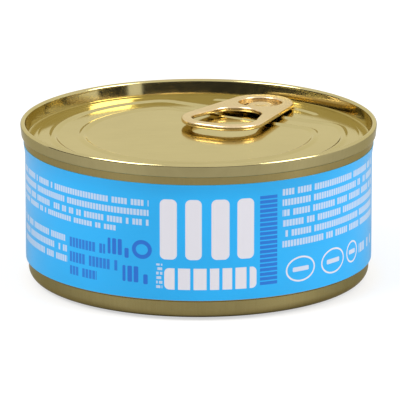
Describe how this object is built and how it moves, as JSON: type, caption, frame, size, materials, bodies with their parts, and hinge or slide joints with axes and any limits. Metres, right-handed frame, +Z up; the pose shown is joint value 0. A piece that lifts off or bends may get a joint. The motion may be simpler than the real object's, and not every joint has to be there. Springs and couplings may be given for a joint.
{
  "type": "tuna can",
  "caption": "Shut shallow round food can with a printed side, a stepped foot, a double-seamed beaded lid and a ring pull tab.",
  "frame": {"origin": "centre of the can's base, on the surface it stands on", "axes": "+Z up through the middle of the lid, +Y towards the back, and the ring pull's nose points towards +X +Y"},
  "size_m": [0.086, 0.086, 0.0385],
  "materials": {
    "gold_can": "gold lacquered tinplate, satin",
    "print": "glossy blue print with plain white and dark blue shapes",
    "gold_lid": "gold lacquered metal, satin",
    "tab_metal": "gold lacquered metal, semi-matte"
  },
  "bodies": {
    "root": {"can_body": "gold_can", "label": "print", "lid": "gold_lid", "pull_tab": "tab_metal"}
  },
  "joints": []
}
